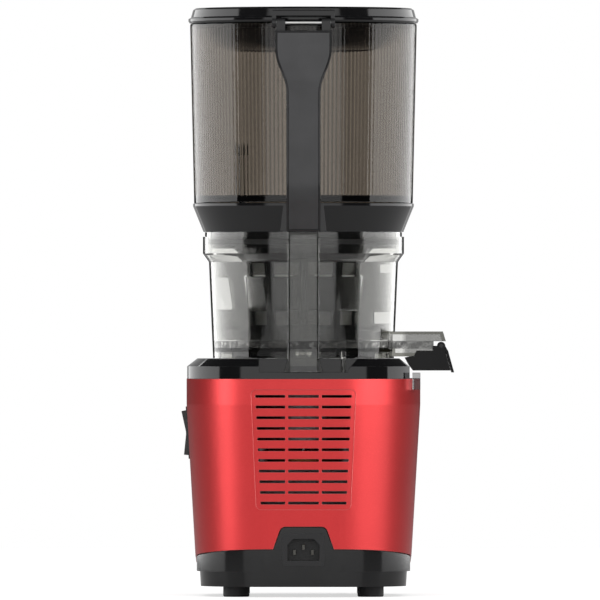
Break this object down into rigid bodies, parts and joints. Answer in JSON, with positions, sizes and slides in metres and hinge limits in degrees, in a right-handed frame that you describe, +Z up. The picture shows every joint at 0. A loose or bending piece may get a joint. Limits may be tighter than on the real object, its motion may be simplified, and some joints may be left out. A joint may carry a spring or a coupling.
{
  "type": "cold press juicer",
  "caption": "Upright cold press juicer with a wide fluted hopper, a hinged lid with a rear handle, a clear bowl with strainer, brush cage and auger, a juice spout with drip flap, and a red motor base with gearbox.",
  "frame": {"origin": "centre of the stand, on the auger's axis at the underside of the rubber feet", "axes": "+Z up along the auger's axis, +Y towards the back with the handle, the grille and the mains inlet, -X towards the juice spout"},
  "size_m": [0.2136, 0.224, 0.46],
  "materials": {
    "foot_rubber": "matte rubber",
    "pan_black": "fine satin",
    "screw_steel": "zinc plated",
    "inlet_black": "satin",
    "pin_nickel": "nickel plated",
    "red_paint": "satin metallic",
    "switch_black": "gloss",
    "cap_black": "gloss",
    "clip_clear": "clear moulding",
    "seal_grey": "silicone",
    "motor_steel": "laminated steel",
    "copper": "enamelled copper wire",
    "die_cast": "as cast",
    "bronze": "sintered bronze",
    "gear_nylon": "nylon",
    "board_green": "solder mask",
    "parts_dark": "moulded parts",
    "capacitor_white": "film can",
    "bowl_smoke": "lightly smoked clear",
    "hopper_smoke": "smoke clear, fluted",
    "nozzle_black": "gloss",
    "ultem": "dark clear engineering plastic",
    "mesh_steel": "etched fine mesh",
    "cage_smoke": "smoke clear",
    "wiper_smoke": "translucent silicone",
    "silicone_dark": "silicone",
    "blade_steel": "ground edge",
    "handle_black": "satin",
    "handle_grey": "fine texture",
    "lid_black": "gloss"
  },
  "bodies": {
    "base": {"rubber_feet": "foot_rubber", "base_pan": "pan_black", "base_screws": "screw_steel", "power_inlet": "inlet_black", "inlet_pins": "pin_nickel", "outer_shell": "red_paint", "switch_housing": "switch_black", "top_cap": "cap_black", "edge_clip": "clip_clear", "drive_shaft_seal": "seal_grey", "motor_stator": "motor_steel", "motor_windings": "copper", "motor_bracket": "die_cast", "motor_bearings": "bronze", "motor_screws": "screw_steel", "gearbox_case": "die_cast", "gearbox_cover": "die_cast", "gearbox_bushes": "bronze", "rubber_mounts": "foot_rubber", "gearbox_screws": "screw_steel", "control_board": "board_green", "board_parts": "parts_dark", "run_capacitor": "capacitor_white", "interlock_sensor": "parts_dark"},
    "rocker": {"switch_rocker": "switch_black"},
    "rotor": {"motor_rotor": "motor_steel", "motor_shaft": "screw_steel", "cooling_fan": "gear_nylon"},
    "countershaft": {"countershaft": "screw_steel", "first_gear": "gear_nylon"},
    "output": {"output_gear": "gear_nylon", "drive_shaft": "screw_steel"},
    "bowl": {"juicing_bowl": "bowl_smoke", "column_magnet": "motor_steel", "pulp_plug": "silicone_dark", "bowl_shaft_seal": "silicone_dark", "idler_pin": "screw_steel", "juice_nozzle": "nozzle_black", "flap_pin": "screw_steel", "strainer_frame": "ultem", "strainer_mesh": "mesh_steel"},
    "idler": {"idler_gear": "gear_nylon"},
    "flap": {"drip_flap": "nozzle_black"},
    "brush": {"brush_cage": "cage_smoke", "brush_wipers": "wiper_smoke"},
    "auger": {"auger": "ultem", "auger_insert": "screw_steel"},
    "hopper": {"hopper_base_ring": "lid_black", "hopper_gasket": "silicone_dark", "hopper_wall": "hopper_smoke", "handle_body": "handle_black", "handle_cover": "handle_grey", "handle_screws": "screw_steel", "lid_hinge_pin": "blade_steel"},
    "wing": {"cutting_wing": "handle_black", "wing_blades": "blade_steel"},
    "lid": {"lid_shell": "lid_black", "lid_liner": "lid_black", "lid_seal": "silicone_dark"}
  },
  "joints": [
    {"name": "switch_rock", "type": "hinge", "parent": "base", "child": "rocker", "pos_m": [0.0901, 0, 0.1276], "axis": [0, 1, 0], "range_deg": [-8, 8]},
    {"name": "motor_spin", "type": "hinge", "parent": "base", "child": "rotor", "pos_m": [0, 0, 0.06], "axis": [0, 0, 1], "continuous": true},
    {"name": "countershaft_spin", "type": "hinge", "parent": "base", "child": "countershaft", "pos_m": [0, -0.036, 0.13], "axis": [0, 0, 1], "continuous": true},
    {"name": "drive_spin", "type": "hinge", "parent": "base", "child": "output", "pos_m": [0, 0, 0.15], "axis": [0, 0, 1], "continuous": true},
    {"name": "bowl_lift", "type": "slide", "parent": "base", "child": "bowl", "axis": [0, 0, 1], "range_m": [0, 0.05]},
    {"name": "idler_spin", "type": "hinge", "parent": "bowl", "child": "idler", "pos_m": [0.0315, 0, 0.2], "axis": [0, 0, 1], "continuous": true},
    {"name": "flap_hinge", "type": "hinge", "parent": "bowl", "child": "flap", "pos_m": [-0.108, 0, 0.1956], "axis": [0, 1, 0], "range_deg": [0, 50]},
    {"name": "brush_spin", "type": "hinge", "parent": "bowl", "child": "brush", "pos_m": [0, 0, 0.21], "axis": [0, 0, 1], "continuous": true},
    {"name": "auger_spin", "type": "hinge", "parent": "bowl", "child": "auger", "pos_m": [0, 0, 0.21], "axis": [0, 0, 1], "continuous": true},
    {"name": "hopper_lift", "type": "slide", "parent": "bowl", "child": "hopper", "axis": [0, 0, 1], "range_m": [0, 0.09]},
    {"name": "wing_spin", "type": "hinge", "parent": "hopper", "child": "wing", "pos_m": [0, 0, 0.28], "axis": [0, 0, 1], "continuous": true},
    {"name": "lid_hinge", "type": "hinge", "parent": "hopper", "child": "lid", "pos_m": [0, 0.097, 0.447], "axis": [-1, 0, 0], "range_deg": [0, 100]}
  ],
  "couplings": [
    {"joint": "countershaft_spin", "follows": "motor_spin", "ratio": -0.2},
    {"joint": "drive_spin", "follows": "motor_spin", "ratio": 0.04},
    {"joint": "auger_spin", "follows": "motor_spin", "ratio": 0.04},
    {"joint": "idler_spin", "follows": "motor_spin", "ratio": -0.04},
    {"joint": "brush_spin", "follows": "motor_spin", "ratio": -0.013333},
    {"joint": "wing_spin", "follows": "motor_spin", "ratio": 0.04}
  ]
}
